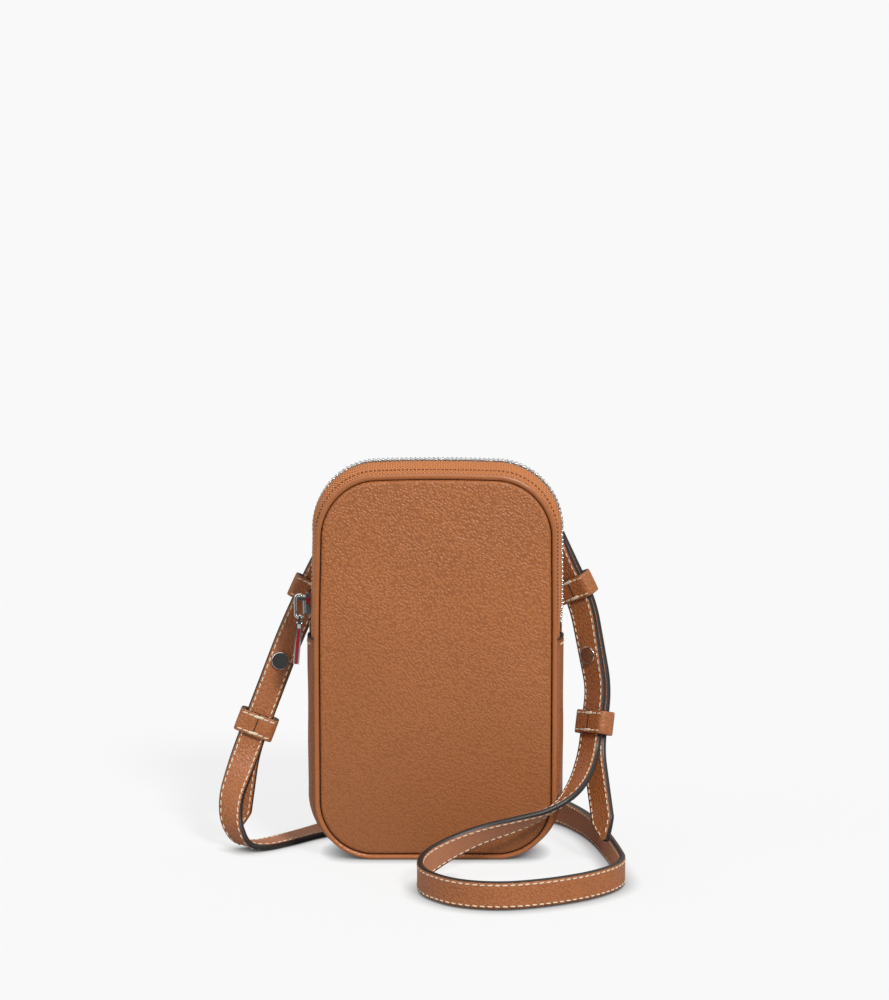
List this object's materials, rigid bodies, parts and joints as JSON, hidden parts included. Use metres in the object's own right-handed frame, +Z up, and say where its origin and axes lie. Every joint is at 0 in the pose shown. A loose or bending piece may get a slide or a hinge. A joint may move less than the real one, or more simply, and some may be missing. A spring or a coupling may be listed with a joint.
{
  "type": "phone pouch with shoulder strap",
  "caption": "Upright grained-leather phone pouch with piped panels, a zip over the top and a stitched shoulder strap looped in front.",
  "frame": {"origin": "middle of the flat base, at floor level", "axes": "+Z up, -Y towards the front panel, +X to the right seen from the front"},
  "size_m": [0.1776, 0.1571, 0.1758],
  "materials": {
    "grained_leather": "pebbled satin",
    "strap_leather": "grained satin with dark painted edges",
    "lining_cloth": "matte woven",
    "stiffening_board": "matte",
    "zip_cloth": "woven tape",
    "polished_metal": "polished",
    "crimson_enamel": "glossy"
  },
  "bodies": {
    "pouch": {"back_board": "stiffening_board", "back_lining": "lining_cloth", "back_panel": "grained_leather", "back_piping": "grained_leather", "front_board_lower": "stiffening_board", "front_lining_lower": "lining_cloth", "front_panel_lower": "grained_leather", "front_piping_lower": "grained_leather", "gusset": "grained_leather", "gusset_lining": "lining_cloth", "ring_holder_left": "grained_leather", "ring_holder_right": "grained_leather", "strap_end_left": "strap_leather", "strap_end_right": "strap_leather", "strap_free_run": "strap_leather", "strap_ring_left": "polished_metal", "strap_ring_right": "polished_metal", "stud_left": "polished_metal", "stud_right": "polished_metal", "stud_screw_left": "polished_metal", "stud_screw_right": "polished_metal", "zip_stops_rear": "polished_metal", "zip_tape_rear": "zip_cloth", "zip_teeth_rear": "polished_metal"},
    "mouth_flap": {"front_panel_upper": "grained_leather", "front_piping_upper": "grained_leather", "front_board_upper": "stiffening_board", "front_lining_upper": "lining_cloth", "zip_tape_front": "zip_cloth", "zip_teeth_front": "polished_metal", "zip_stops_front": "polished_metal"},
    "slider": {"zip_slider": "polished_metal", "slider_inlay": "crimson_enamel"},
    "link": {"pull_link": "polished_metal"},
    "tab": {"pull_tab": "polished_metal", "pull_tab_core": "crimson_enamel"},
    "keeper_left_upper_body": {"keeper_left_upper": "strap_leather"},
    "keeper_left_lower_body": {"keeper_left_lower": "strap_leather"},
    "keeper_right_upper_body": {"keeper_right_upper": "strap_leather"},
    "keeper_right_lower_body": {"keeper_right_lower": "strap_leather"}
  },
  "joints": [
    {"name": "mouth_open", "type": "hinge", "parent": "pouch", "child": "mouth_flap", "pos_m": [0, -0.0145, 0.097], "axis": [1, 0, 0], "range_deg": [0, 25], "deforming": ["zip_tape_front", "zip_teeth_front", "zip_stops_front"]},
    {"name": "zip_slide", "type": "slide", "parent": "pouch", "child": "slider", "axis": [0, 0, 1], "range_m": [0, 0.028], "deforming": ["zip_teeth_front", "zip_teeth_rear"]},
    {"name": "pull_link_swing", "type": "hinge", "parent": "slider", "child": "link", "pos_m": [-0.0594, 0, 0.1144], "axis": [0, 1, 0], "range_deg": [0, 75]},
    {"name": "pull_tab_swing", "type": "hinge", "parent": "link", "child": "tab", "pos_m": [-0.0594, 0, 0.1055], "axis": [0.9962, 0, -0.0872], "range_deg": [-25, 25]},
    {"name": "keeper_left_upper_slide", "type": "slide", "parent": "pouch", "child": "keeper_left_upper_body", "axis": [0.4148, 0.0738, 0.9069], "range_m": [-0.008, 0]},
    {"name": "keeper_left_lower_slide", "type": "slide", "parent": "pouch", "child": "keeper_left_lower_body", "axis": [0.3572, 0.0678, 0.9316], "range_m": [0, 0.015]},
    {"name": "keeper_right_upper_slide", "type": "slide", "parent": "pouch", "child": "keeper_right_upper_body", "axis": [-0.4363, 0.0353, 0.8991], "range_m": [0, 0.006]},
    {"name": "keeper_right_lower_slide", "type": "slide", "parent": "pouch", "child": "keeper_right_lower_body", "axis": [0.1184, 0.2763, 0.9538], "range_m": [0, 0.006]}
  ]
}
